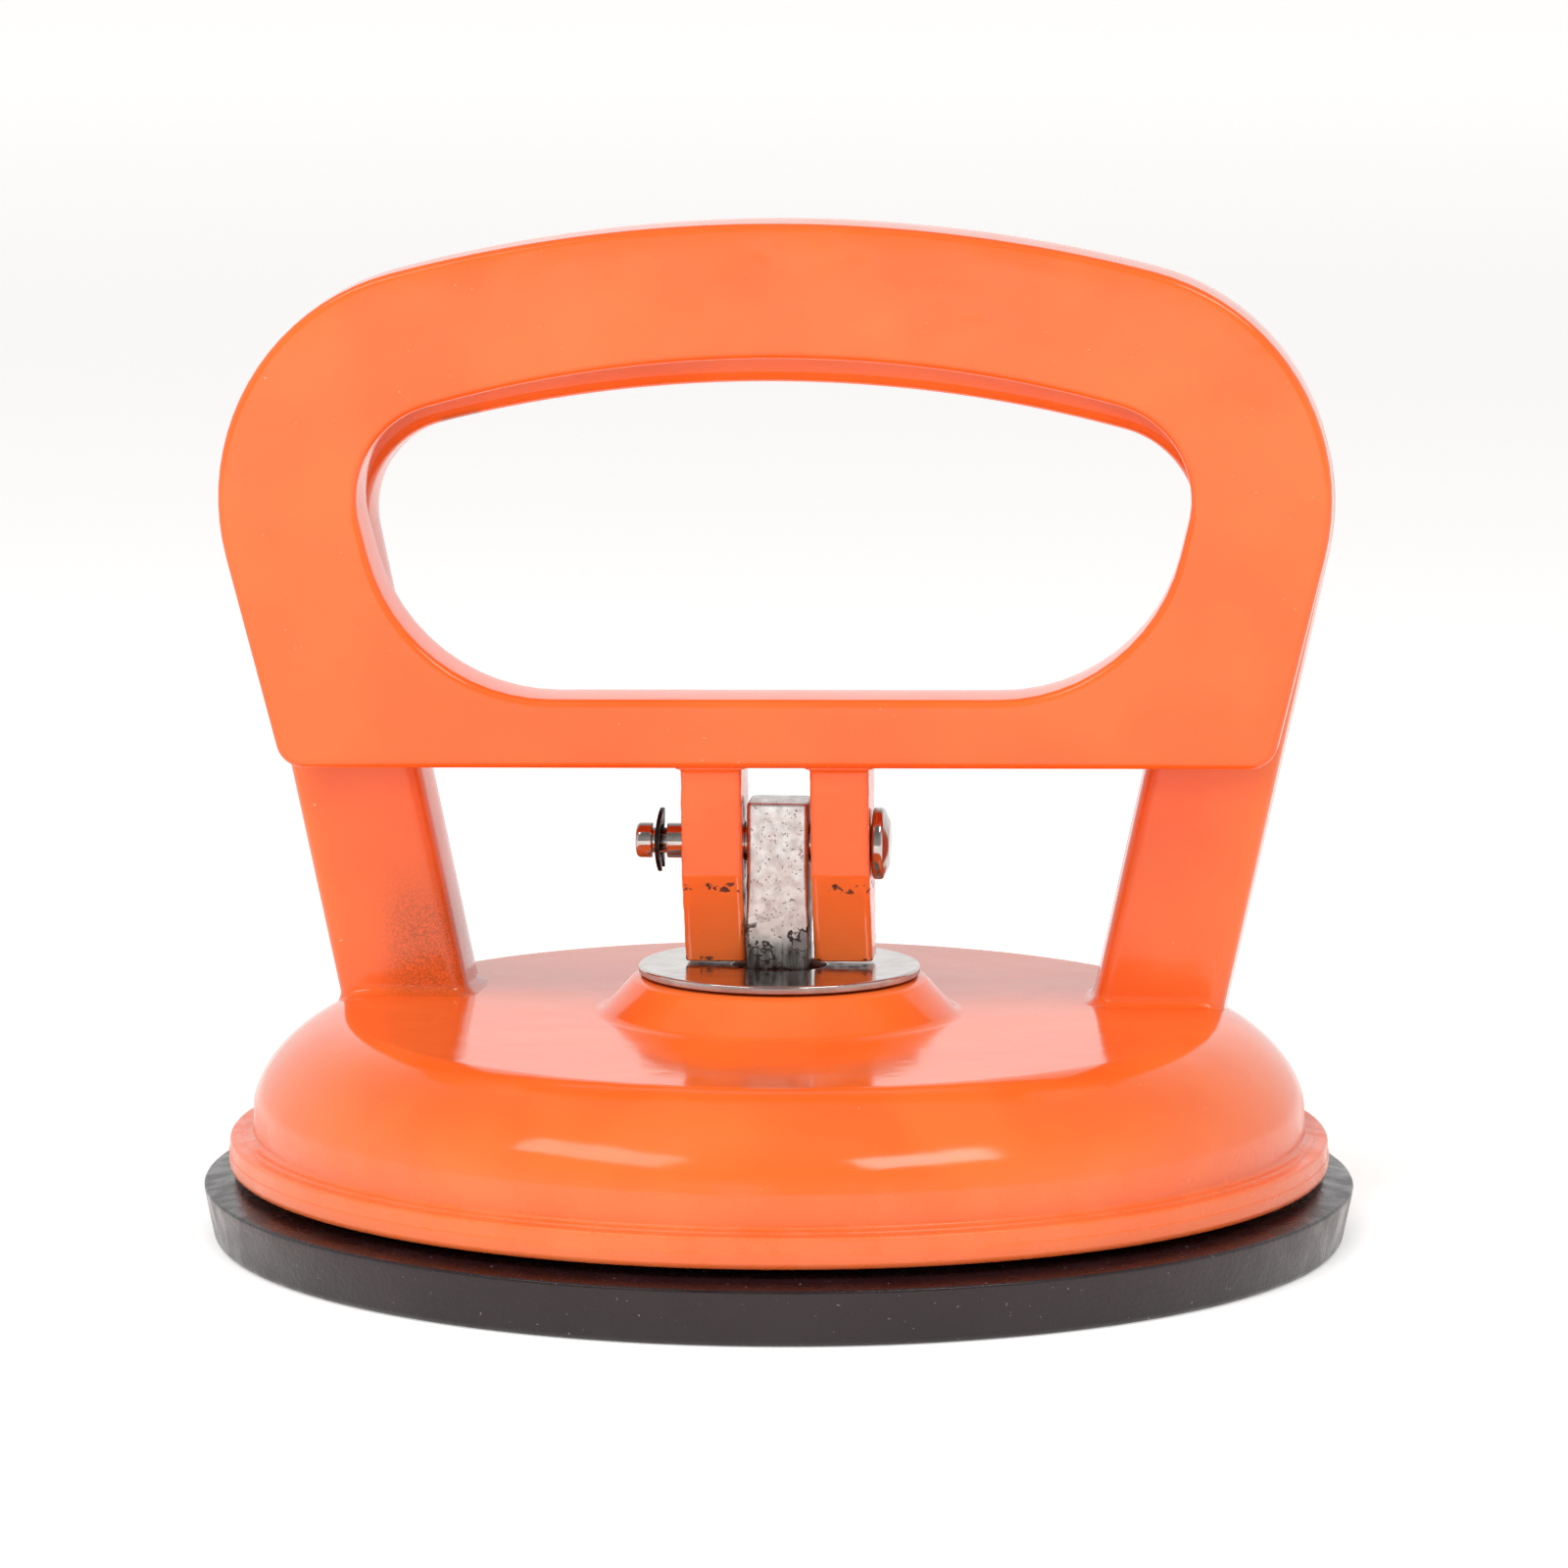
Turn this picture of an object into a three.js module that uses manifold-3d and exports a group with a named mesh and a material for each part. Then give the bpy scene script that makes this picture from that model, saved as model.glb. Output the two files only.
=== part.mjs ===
// Hand-operated vacuum suction cup: a rubber disc under a cast dish with a fixed grip, and a
// hinged D-shaped lever whose two cam lugs press on a washer and lift a square stem.
// Millimetres, +Z up. Origin: centre of the rubber disc's underside. The lever faces -Y.
// Pose: locked, with the lever upright beside the fixed grip.

import * as THREE from 'three';
import { mergeVertices } from 'three/addons/utils/BufferGeometryUtils.js';
import Module from 'manifold-3d';

const wasm = await Module();
wasm.setup();

// Driving dimensions, mm.
const gap = 0.3; // air left between faces that touch on the real object
const boreGap = 0.35; // air on each side of the stem in the dish's square hole
const turnSegments = 72; // facets round the large turned pieces

const pad = {
  topRadius: 59, // widest, at the top of the bevelled side
  footRadius: 57.85,
  thickness: 6.4,
  hubDrop: 0.4, // the raised middle is a little thinner than the rim
  lipInner: 47, // inside of the flat sealing lip
  lift: 2.3, // how far the locked lever holds the middle off the ground
  hubRadius: 26,
  pocketRadius: 24.6, // room for the anchor plate
  pocketFloor: 6.1,
  wellRadius: 5.2, // room for the stem's riveted end
  wellFloor: 4.8,
};

const dish = {
  rimRadius: 56.4,
  rimBottom: 7.2,
  rimTop: 10.5,
  wallRadius: 53.8, // the dome's upright wall
  wallTop: 14, // where the shoulder starts to turn in
  flatRadius: 43.8, // edge of the flat top
  flatTop: 22.9,
  fullness: 1.6, // shoulder's shape: 1 is a straight chamfer, 2 is an ellipse
  shell: 3,
  bossFoot: 18.2,
  bossRadius: 14.8,
  bossTop: 26.7,
  guideRadius: 9,
  guideBottom: 14.5,
  guideFlare: 2,
};

const stem = {
  width: 6.3, // square bar
  edge: 0.5, // bevel along its four edges
  top: 44.8,
  shoulder: 11.2, // where the bar stands on the anchor plate
  tenonRadius: 2.5,
  headRadius: 4,
  headTop: 9,
  headBottom: 8,
};

const plate = { radius: 24, bottom: 9.3, thickness: 1.6, holeRadius: 2.8 };
const washer = { radius: 14.4, hole: 4.9, bottom: dish.bossTop + gap, thickness: 0.8 };

const pin = {
  height: 40.4, // the lever's hinge axis, parallel to X
  radius: 1.8,
  bore: 2.1, // hole through the lugs and the stem
  capEnd: -14.7,
  grooveLeft: -13,
  grooveRight: -11.5,
  grooveRadius: 1.3,
  headLeft: 9.6,
  headRight: 11.4,
  headRadius: 3.7,
};

const clip = { x: -12.2, thickness: 0.5, outer: 3.35, band: 2.45, inner: 1.6, mouth: 2.2 };

// The lever and the fixed grip have the same D-shaped outline, the grip's a little lower.
const lever = {
  top: 104.2,
  shoulder: { x: 32.6, z: 76, radius: 24 }, // outer corner arc
  bottom: 48.6,
  front: -6,
  back: 3,
  sideLean: 14, // degrees that the sides draw in towards the bottom
  cornerRadius: 3,
  round: 0.8, // rounding of every long edge
  hole: { top: 90.3, bottom: 55.9, x: 32.4, z: 76, upper: 9.8, lower: 19 },
};
const grip = {
  top: 101.8,
  shoulder: { x: 32.6, z: 74.5, radius: 24 },
  front: 6,
  back: 17.5,
  sideLean: 12,
  legWidth: 13.8,
  offset: -0.4, // the grip sits a little to the left of the dish's middle
  foot: 20, // the legs' ends, inside the dish wall
  round: 1.8,
  hole: { top: 86.6, z: 72.6, upper: 9.8 },
};
const lug = {
  left: [-9.7, -3.5],
  right: [3.5, 9.5],
  front: -5,
  back: 4.2,
  kink: 2.8, // below the pin: the front face slants back under this
  toeY: -1.4, // front bottom edge, cut back so that it clears the washer as it turns
  toeDepth: 12.05,
  heelY: -0.6, // start of the flat that stands on the washer
  corner: 0.8,
  overlap: 1.5, // how far it runs up into the lever's bottom bar
  backDrop: 1.2, // its back edge runs in to the bar over this height
  backInset: 0.6,
};
lug.depth = pin.height - (washer.bottom + washer.thickness + gap);

const enamel = { color: 0xfd7a3c, roughness: 0.3, metalness: 0 };
const rubber = { color: 0x2e2729, roughness: 0.65, metalness: 0 };
const zinc = { color: 0xb9b4ae, roughness: 0.35, metalness: 1 };
const bright = { color: 0xcfcac5, roughness: 0.2, metalness: 1 };
const blackSteel = { color: 0x1d1a1a, roughness: 0.45, metalness: 1 };

const rad = THREE.MathUtils.degToRad;

function toSolid(geometry) {
  let bare = geometry.index ? geometry.toNonIndexed() : geometry.clone();
  for (const name of Object.keys(bare.attributes)) {
    if (name !== 'position') bare.deleteAttribute(name);
  }
  bare = mergeVertices(bare, 1e-4);
  const vertProperties = new Float32Array(bare.attributes.position.array);
  const triVerts = new Uint32Array(bare.index.array);
  return new wasm.Manifold(new wasm.Mesh({ numProp: 3, vertProperties, triVerts }));
}

function toGeometry(solid) {
  const mesh = solid.getMesh();
  const geometry = new THREE.BufferGeometry();
  geometry.setAttribute('position', new THREE.BufferAttribute(mesh.vertProperties.slice(), 3));
  geometry.setIndex(new THREE.BufferAttribute(mesh.triVerts.slice(), 1));
  geometry.computeVertexNormals();
  return geometry;
}

// Turns [radius, height] pairs about +Z.
function turned(profile, segments = turnSegments) {
  const points = profile.map(([r, z]) => new THREE.Vector2(r, z));
  return toSolid(new THREE.LatheGeometry(points, segments).rotateX(Math.PI / 2));
}

// An upright square bar on the Z axis, with its four long edges bevelled.
function squareBar(width, bottom, top, edge = 0) {
  const half = width / 2;
  const side = half - edge;
  const shape = new THREE.Shape();
  shape.moveTo(-side, -half);
  shape.lineTo(side, -half);
  shape.lineTo(half, -side);
  shape.lineTo(half, side);
  shape.lineTo(side, half);
  shape.lineTo(-side, half);
  shape.lineTo(-half, side);
  shape.lineTo(-half, -side);
  const bar = new THREE.ExtrudeGeometry(shape, { depth: top - bottom, bevelEnabled: false });
  return toSolid(bar.translate(0, 0, bottom));
}

function disc(radius, bottom, top, segments = 32) {
  const height = top - bottom;
  const round = new THREE.CylinderGeometry(radius, radius, height, segments);
  return toSolid(round.rotateX(Math.PI / 2).translate(0, 0, bottom + height / 2));
}

// A round bar along X at the hinge axis.
function axleBar(radius, left, right, segments = 24) {
  const length = right - left;
  const round = new THREE.CylinderGeometry(radius, radius, length, segments);
  return toSolid(round.rotateZ(Math.PI / 2).translate(left + length / 2, 0, pin.height));
}

// Extrudes an X-Z outline between two Y values, with its long edges rounded.
function slab(shape, front, back, round) {
  const options = {
    depth: back - front - 2 * round,
    bevelThickness: round,
    bevelSize: round,
    bevelOffset: -round,
    bevelSegments: 2,
    curveSegments: 10,
  };
  const solid = new THREE.ExtrudeGeometry(shape, options);
  return toSolid(solid.rotateX(Math.PI / 2).translate(0, back - round, 0));
}

// Radius of the arc that has its top at (0, top) and runs smoothly into a corner arc.
function crownRadius(top, x, z, radius) {
  const drop = top - z;
  return (x * x + drop * drop - radius * radius) / (2 * (drop - radius));
}

// The arch of a D: from the right corner's tangent point, over the crown, to the left one.
function archTo(path, top, corner, lean) {
  const crown = crownRadius(top, corner.x, corner.z, corner.radius);
  const meet = Math.atan2(corner.z - (top - crown), corner.x);
  const side = rad(lean);
  path.absarc(corner.x, corner.z, corner.radius, -side, meet, false);
  path.absarc(0, top - crown, crown, meet, Math.PI - meet, false);
  path.absarc(-corner.x, corner.z, corner.radius, Math.PI - meet, Math.PI + side, false);
}

// Where a leaning side reaches a given height, outside a corner arc's tangent point.
function sideAt(corner, lean, z) {
  const side = rad(lean);
  const startX = corner.x + corner.radius * Math.cos(side);
  const startZ = corner.z - corner.radius * Math.sin(side);
  return startX - (startZ - z) * Math.tan(side);
}

function rubberPadGeometry() {
  const middle = pad.lift;
  const hubTop = pad.thickness + middle - pad.hubDrop;
  return toGeometry(turned([
    [0, middle],
    [pad.hubRadius, middle],
    [pad.lipInner, 0],
    [pad.footRadius - 0.6, 0],
    [pad.footRadius, 0.6],
    [pad.topRadius, 5.3],
    [pad.topRadius - 0.3, 5.9],
    [pad.topRadius - 1, 6.2],
    [dish.rimRadius - 1, pad.thickness],
    [pad.lipInner, pad.thickness],
    [pad.hubRadius + 2, hubTop],
    [pad.hubRadius, hubTop],
    [pad.pocketRadius, pad.pocketFloor],
    [pad.wellRadius, pad.pocketFloor],
    [pad.wellRadius, pad.wellFloor],
    [0, pad.wellFloor],
  ]));
}

// A rounded shoulder, from the top of an upright wall to the edge of a flat top.
function shoulderCurve(wall, wallTop, flat, flatTop, steps) {
  const points = [];
  for (let i = 0; i <= steps; i += 1) {
    const angle = (i / steps) * (Math.PI / 2);
    const across = Math.abs(Math.cos(angle)) ** (2 / dish.fullness);
    const up = Math.abs(Math.sin(angle)) ** (2 / dish.fullness);
    points.push([flat + (wall - flat) * across, wallTop + (flatTop - wallTop) * up]);
  }
  return points;
}

function dishShell() {
  const inside = dish.flatTop - dish.shell;
  const outer = shoulderCurve(dish.wallRadius, dish.wallTop, dish.flatRadius, dish.flatTop, 5);
  const inner = shoulderCurve(
    dish.wallRadius - dish.shell, dish.wallTop, dish.flatRadius - 2, inside, 4);
  return turned([
    [0, dish.guideBottom],
    [dish.guideRadius, dish.guideBottom],
    [dish.guideRadius + dish.guideFlare, inside],
    ...inner.reverse(),
    [dish.wallRadius - 1.8, dish.rimBottom],
    [dish.rimRadius - 0.8, dish.rimBottom],
    [dish.rimRadius, dish.rimBottom + 0.7],
    [dish.rimRadius, dish.rimTop - 0.3],
    [dish.rimRadius - 0.3, dish.rimTop],
    [dish.wallRadius + 0.5, dish.rimTop],
    [dish.wallRadius, dish.rimTop + 0.6],
    ...outer,
    [dish.bossFoot, dish.flatTop],
    [dish.bossFoot - 1.2, dish.flatTop + 0.8],
    [dish.bossRadius, dish.bossTop - 0.4],
    [dish.bossRadius - 0.4, dish.bossTop],
    [0, dish.bossTop],
  ]);
}

function gripOutline() {
  const outerFoot = sideAt(grip.shoulder, grip.sideLean, grip.foot);
  const reach = grip.legWidth / Math.cos(rad(grip.sideLean));
  const hole = grip.hole;
  const innerTop = { x: grip.shoulder.x, z: hole.z, radius: hole.upper };
  innerTop.x += sideAt(grip.shoulder, grip.sideLean, hole.z) - reach
    - sideAt(innerTop, grip.sideLean, hole.z);
  const shape = new THREE.Shape();
  archTo(shape, grip.top, grip.shoulder, grip.sideLean);
  shape.lineTo(-outerFoot, grip.foot);
  shape.lineTo(-outerFoot + reach, grip.foot);
  // back up the inside: the same arch, run the other way
  const crown = crownRadius(hole.top, innerTop.x, innerTop.z, innerTop.radius);
  const meet = Math.atan2(innerTop.z - (hole.top - crown), innerTop.x);
  const side = rad(grip.sideLean);
  shape.absarc(-innerTop.x, innerTop.z, innerTop.radius, Math.PI + side, Math.PI - meet, true);
  shape.absarc(0, hole.top - crown, crown, Math.PI - meet, meet, true);
  shape.absarc(innerTop.x, innerTop.z, innerTop.radius, meet, -side, true);
  shape.lineTo(outerFoot - reach, grip.foot);
  shape.lineTo(outerFoot, grip.foot);
  return shape;
}

function bodyCastingGeometry() {
  const bore = squareBar(stem.width + 2 * boreGap, dish.guideBottom - 1, dish.bossTop + 1);
  const centred = slab(gripOutline(), grip.front, grip.back, grip.round);
  const handle = centred.translate([grip.offset, 0, 0]);
  return toGeometry(dishShell().subtract(bore).add(handle));
}

function leverOutline() {
  const shape = new THREE.Shape();
  const side = rad(lever.sideLean);
  const corner = lever.cornerRadius;
  // centre of the small arc that joins a leaning side to the straight bottom
  const cornerZ = lever.bottom + corner;
  const cornerX = sideAt(lever.shoulder, lever.sideLean, cornerZ) - corner / Math.cos(side);
  shape.moveTo(cornerX, lever.bottom);
  shape.absarc(cornerX, cornerZ, corner, -Math.PI / 2, -side, false);
  archTo(shape, lever.top, lever.shoulder, lever.sideLean);
  shape.absarc(-cornerX, cornerZ, corner, Math.PI + side, 1.5 * Math.PI, false);
  shape.holes.push(leverHole(side));
  return shape;
}

function leverHole(side) {
  const hole = lever.hole;
  const upper = { x: hole.x, z: hole.z, radius: hole.upper };
  const lowerZ = hole.bottom + hole.lower;
  const lowerX = sideAt(upper, lever.sideLean, lowerZ) - hole.lower / Math.cos(side);
  const path = new THREE.Path();
  path.moveTo(lowerX, hole.bottom);
  path.absarc(lowerX, lowerZ, hole.lower, -Math.PI / 2, -side, false);
  archTo(path, hole.top, upper, lever.sideLean);
  path.absarc(-lowerX, lowerZ, hole.lower, Math.PI + side, 1.5 * Math.PI, false);
  return path;
}

// One cam lug: its Y-Z section, extruded between two X values.
function camLug([left, right]) {
  const top = lever.bottom + lug.overlap;
  const z = (below) => pin.height - below;
  const shape = new THREE.Shape();
  shape.moveTo(lug.front, top);
  shape.lineTo(lug.front, z(lug.kink));
  shape.lineTo(lug.toeY, z(lug.toeDepth));
  shape.lineTo(lug.heelY, z(lug.depth));
  shape.lineTo(lug.back - lug.corner, z(lug.depth));
  shape.lineTo(lug.back, z(lug.depth - lug.corner));
  shape.lineTo(lug.back, lever.bottom - lug.backDrop);
  shape.lineTo(lever.back - lug.backInset, top);
  const solid = new THREE.ExtrudeGeometry(shape, { depth: right - left, bevelEnabled: false });
  // shape x -> Y, shape y -> Z, depth -> X
  const place = new THREE.Matrix4().set(0, 0, 1, left, 1, 0, 0, 0, 0, 1, 0, 0, 0, 0, 0, 1);
  return toSolid(solid.applyMatrix4(place));
}

function leverGeometry() {
  let solid = slab(leverOutline(), lever.front, lever.back, lever.round);
  solid = solid.add(camLug(lug.left)).add(camLug(lug.right));
  return toGeometry(solid.subtract(axleBar(pin.bore, lug.left[0] - 1, lug.right[1] + 1)));
}

function stemGeometry() {
  let solid = squareBar(stem.width, stem.shoulder, stem.top, stem.edge);
  solid = solid.add(disc(stem.tenonRadius, stem.headTop - 0.5, stem.shoulder + 0.5, 24));
  solid = solid.add(disc(stem.headRadius, stem.headBottom, stem.headTop, 24));
  return toGeometry(solid.subtract(axleBar(pin.bore, -stem.width, stem.width)));
}

function ringGeometry(outer, inner, bottom, thickness, segments) {
  const top = bottom + thickness;
  return toGeometry(turned(
    [[inner, bottom], [outer, bottom], [outer, top], [inner, top], [inner, bottom]], segments));
}

function pinGeometry() {
  const points = [
    [0, pin.capEnd],
    [pin.radius - 0.4, pin.capEnd],
    [pin.radius, pin.capEnd + 0.4],
    [pin.radius, pin.grooveLeft],
    [pin.grooveRadius, pin.grooveLeft],
    [pin.grooveRadius, pin.grooveRight],
    [pin.radius, pin.grooveRight],
    [pin.radius, pin.headLeft],
    [pin.headRadius - 0.2, pin.headLeft],
    [pin.headRadius, pin.headLeft + 0.5],
    [pin.headRadius - 0.5, pin.headRight - 0.7],
    [pin.headRadius - 1.6, pin.headRight - 0.15],
    [0, pin.headRight],
  ];
  const solid = new THREE.LatheGeometry(points.map(([r, x]) => new THREE.Vector2(r, x)), 24);
  return toGeometry(toSolid(solid.rotateZ(-Math.PI / 2).translate(0, 0, pin.height)));
}

// An E-shaped spring clip: a flat C with three prongs that reach the pin's groove.
function clipGeometry() {
  const seat = clip.inner;
  const band = clip.band;
  const half = clip.mouth / 2;
  const shape = new THREE.Shape();
  const open = Math.asin(half / clip.outer);
  const bandOpen = Math.asin(half / band);
  shape.absarc(0, 0, clip.outer, -Math.PI / 2 + open, 1.5 * Math.PI - open, false);
  shape.lineTo(-half, -seat);
  shape.absarc(0, 0, band, 1.5 * Math.PI - bandOpen - 0.35, Math.PI * 0.62, true);
  shape.absarc(0, 0, seat, Math.PI * 0.6, Math.PI * 0.4, true);
  shape.absarc(0, 0, band, Math.PI * 0.38, -Math.PI / 2 + bandOpen + 0.35, true);
  shape.lineTo(half, -seat);
  const options = { depth: clip.thickness, bevelEnabled: false, curveSegments: 10 };
  const solid = new THREE.ExtrudeGeometry(shape, options);
  const left = clip.x - clip.thickness / 2;
  const place = new THREE.Matrix4()
    .set(0, 0, 1, left, 1, 0, 0, 0, 0, 1, 0, pin.height, 0, 0, 0, 1);
  return toGeometry(toSolid(solid.applyMatrix4(place)));
}

function piece(name, geometry, finish) {
  const mesh = new THREE.Mesh(geometry, new THREE.MeshStandardMaterial(finish));
  mesh.name = name;
  return mesh;
}

const base = new THREE.Group();
base.add(piece('rubber_pad', rubberPadGeometry(), rubber));
base.add(piece('body_casting', bodyCastingGeometry(), enamel));
base.add(piece('cam_washer',
  ringGeometry(washer.radius, washer.hole, washer.bottom, washer.thickness, 48), bright));

const lift = new THREE.Group();
lift.add(piece('lift_stem', stemGeometry(), zinc));
lift.add(piece('anchor_plate',
  ringGeometry(plate.radius, plate.holeRadius, plate.bottom, plate.thickness, 48), zinc));
lift.add(piece('pivot_pin', pinGeometry(), bright));
lift.add(piece('retaining_clip', clipGeometry(), blackSteel));
lift.add(piece('lever_handle', leverGeometry(), enamel));

const suctionCup = new THREE.Group();
suctionCup.add(base);
suctionCup.add(lift);

export default suctionCup;
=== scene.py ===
import math

import bmesh
import bpy
from mathutils import Euler, Matrix, Vector, noise


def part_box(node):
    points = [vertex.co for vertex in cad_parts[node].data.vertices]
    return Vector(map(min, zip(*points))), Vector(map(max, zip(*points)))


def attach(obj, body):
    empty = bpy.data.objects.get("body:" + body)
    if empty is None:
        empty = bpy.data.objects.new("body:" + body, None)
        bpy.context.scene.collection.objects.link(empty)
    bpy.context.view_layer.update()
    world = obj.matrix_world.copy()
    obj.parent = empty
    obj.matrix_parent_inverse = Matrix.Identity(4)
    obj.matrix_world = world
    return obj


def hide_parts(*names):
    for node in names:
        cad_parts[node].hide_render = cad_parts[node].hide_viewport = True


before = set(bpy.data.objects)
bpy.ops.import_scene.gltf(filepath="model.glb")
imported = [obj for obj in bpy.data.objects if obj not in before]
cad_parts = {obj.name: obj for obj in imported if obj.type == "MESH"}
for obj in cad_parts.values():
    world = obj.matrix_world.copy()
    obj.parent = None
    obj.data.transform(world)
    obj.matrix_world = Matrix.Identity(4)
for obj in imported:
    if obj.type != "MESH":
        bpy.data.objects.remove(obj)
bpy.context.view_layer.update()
mm = 0.001
print("frame loaded:", sorted(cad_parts))


def hexColour(code):
    # sRGB hex to the linear values that shaders take
    channels = [int(code[i:i + 2], 16) / 255 for i in (1, 3, 5)]
    linear = [c / 12.92 if c <= 0.04045 else ((c + 0.055) / 1.055) ** 2.4 for c in channels]
    return (*linear, 1.0)


def addNode(tree, kind, settings, out=0):
    # settings go by attribute, or by a socket's name or number; a socket as the value is linked
    node = tree.nodes.new("ShaderNode" + kind)
    for name, value in settings.items():
        if isinstance(name, str) and hasattr(node, name):
            setattr(node, name, value)
        elif isinstance(value, bpy.types.NodeSocket):
            tree.links.new(value, node.inputs[name])
        else:
            node.inputs[name].default_value = value
    return node.outputs[out]


def newFinish(name, settings):
    # a material with one principled shader, and the piece's own coordinates in millimetres
    finish = bpy.data.materials.new(name)
    finish.use_nodes = True
    tree = finish.node_tree
    shader = tree.nodes["Principled BSDF"]
    for socket, value in settings.items():
        shader.inputs[socket].default_value = value
    where = addNode(tree, "TexCoord", {}, "Object")
    place = addNode(tree, "VectorMath", {"operation": "SCALE", 0: where, "Scale": 1 / mm})
    return finish, tree, shader, place


def feed(tree, shader, sockets):
    for name, socket in sockets.items():
        tree.links.new(socket, shader.inputs[name])


def patches(tree, place, size, low, high, amount=1.0, detail=3.0, base=0.0):
    # soft-edged blots about one size across, in millimetres; low..high sets how many and how soft
    cloud = addNode(tree, "TexNoise", {"Vector": place, "Scale": 1 / size, "Detail": detail})
    return addNode(tree, "MapRange", {
        "interpolation_type": "SMOOTHSTEP", "Value": cloud, "From Min": low, "From Max": high,
        "To Min": base, "To Max": amount})


def band(tree, value, middle, half, soft, amount=1.0):
    # the full amount within half of the middle, falling to none over soft
    away = addNode(tree, "Math", {"operation": "SUBTRACT", 0: value, 1: middle})
    away = addNode(tree, "Math", {"operation": "ABSOLUTE", 0: away})
    return addNode(tree, "MapRange", {
        "interpolation_type": "SMOOTHSTEP", "Value": away, "From Min": half,
        "From Max": half + soft, "To Min": amount, "To Max": 0.0})


def roundedCorners(points, steps=6, closed=True):
    # points are (x, y, radius); each corner becomes an arc of its radius
    made = []
    count = len(points)
    for i, (x, y, radius) in enumerate(points):
        atEnd = not closed and i in (0, count - 1)
        if radius <= 0 or atEnd:
            made.append((x, y))
            continue
        here = Vector((x, y))
        before = Vector(points[i - 1][:2]) - here
        after = Vector(points[(i + 1) % count][:2]) - here
        angle = before.angle(after)
        cut = min(radius / math.tan(angle / 2), 0.49 * before.length, 0.49 * after.length)
        real = cut * math.tan(angle / 2)
        bisector = (before.normalized() + after.normalized()).normalized()
        centre = here + bisector * (real / math.sin(angle / 2))
        start = here + before.normalized() * cut - centre
        end = here + after.normalized() * cut - centre
        sweep = math.atan2(start.x * end.y - start.y * end.x, start.dot(end))
        for k in range(steps + 1):
            a = sweep * k / steps
            c, s = math.cos(a), math.sin(a)
            made.append((centre.x + start.x * c - start.y * s,
                         centre.y + start.x * s + start.y * c))
    return made


def makePiece(name, vertices, faces, smooth=True):
    mesh = bpy.data.meshes.new(name)
    mesh.from_pydata([tuple(c * mm for c in v) for v in vertices], [], faces)
    build = bmesh.new()
    build.from_mesh(mesh)
    bmesh.ops.remove_doubles(build, verts=build.verts, dist=1e-7)
    bmesh.ops.recalc_face_normals(build, faces=build.faces)
    build.to_mesh(mesh)
    build.free()
    piece = bpy.data.objects.new(name, mesh)
    bpy.context.scene.collection.objects.link(piece)
    for face in mesh.polygons:
        face.use_smooth = smooth
    return piece


def loft(name, rings, closed=False, caps=True):
    # joins equal rings of points; closed joins the last ring to the first
    count = len(rings[0])
    vertices = [p for ring in rings for p in ring]
    faces = []
    for i in range(len(rings) if closed else len(rings) - 1):
        j = (i + 1) % len(rings)
        for k in range(count):
            n = (k + 1) % count
            faces.append((i * count + k, i * count + n, j * count + n, j * count + k))
    if caps and not closed:
        faces.append(tuple(range(count)))
        faces.append(tuple((len(rings) - 1) * count + k for k in range(count)))
    return makePiece(name, vertices, faces)


def turn(name, profile, segments=256, axis="Z", at=(0, 0, 0), closed=False):
    # turns (radius, height) points round Z or X; a closed profile makes a ring
    vertices, faces, rows = [], [], []
    for radius, height in profile:
        if radius < 1e-6:
            rows.append([len(vertices)] * segments)
            spots = [(0.0, 0.0, height)]
        else:
            rows.append([len(vertices) + k for k in range(segments)])
            turns = [2 * math.pi * k / segments for k in range(segments)]
            spots = [(radius * math.cos(t), radius * math.sin(t), height) for t in turns]
        vertices.extend(spots)
    last = len(rows) if closed else len(rows) - 1
    for i in range(last):
        low, high = rows[i], rows[(i + 1) % len(rows)]
        for k in range(segments):
            n = (k + 1) % segments
            corner = (low[k], low[n], high[n], high[k])
            face = tuple(dict.fromkeys(corner))
            if len(face) > 2:
                faces.append(face)
    if axis == "X":
        vertices = [(z, -x, y) for x, y, z in vertices]
    vertices = [tuple(v[i] + at[i] for i in range(3)) for v in vertices]
    return makePiece(name, vertices, faces)


def cutOrJoin(piece, tool, operation):
    # an exact boolean, applied; the tool is used up
    modifier = piece.modifiers.new(operation, "BOOLEAN")
    modifier.operation = operation
    modifier.solver = "EXACT"
    modifier.object = tool
    applied(piece)
    bpy.data.objects.remove(tool)
    return piece


def applied(piece):
    # bakes the modifiers into the mesh
    bpy.context.view_layer.update()
    graph = bpy.context.evaluated_depsgraph_get()
    mesh = bpy.data.meshes.new_from_object(piece.evaluated_get(graph))
    old = piece.data
    piece.modifiers.clear()
    piece.data = mesh
    bpy.data.meshes.remove(old)
    return piece


def tidyEdges(piece, angle=35):
    # smooth faces, sharp only past the angle, and flats kept flat by weighting normals by area
    for face in piece.data.polygons:
        face.use_smooth = True
    piece.data.set_sharp_from_angle(angle=math.radians(angle))
    weighted = piece.modifiers.new("flats", "WEIGHTED_NORMAL")
    weighted.keep_sharp = True
    weighted.weight = 100
    return piece


def settle(piece, body, node, finish):
    # one place for what every finished piece needs
    piece.data.materials.clear()
    piece.data.materials.append(finish)
    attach(piece, body)
    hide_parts(node)
    print("made", piece.name, "for", node, "with", len(piece.data.polygons), "faces")
    return piece


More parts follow.
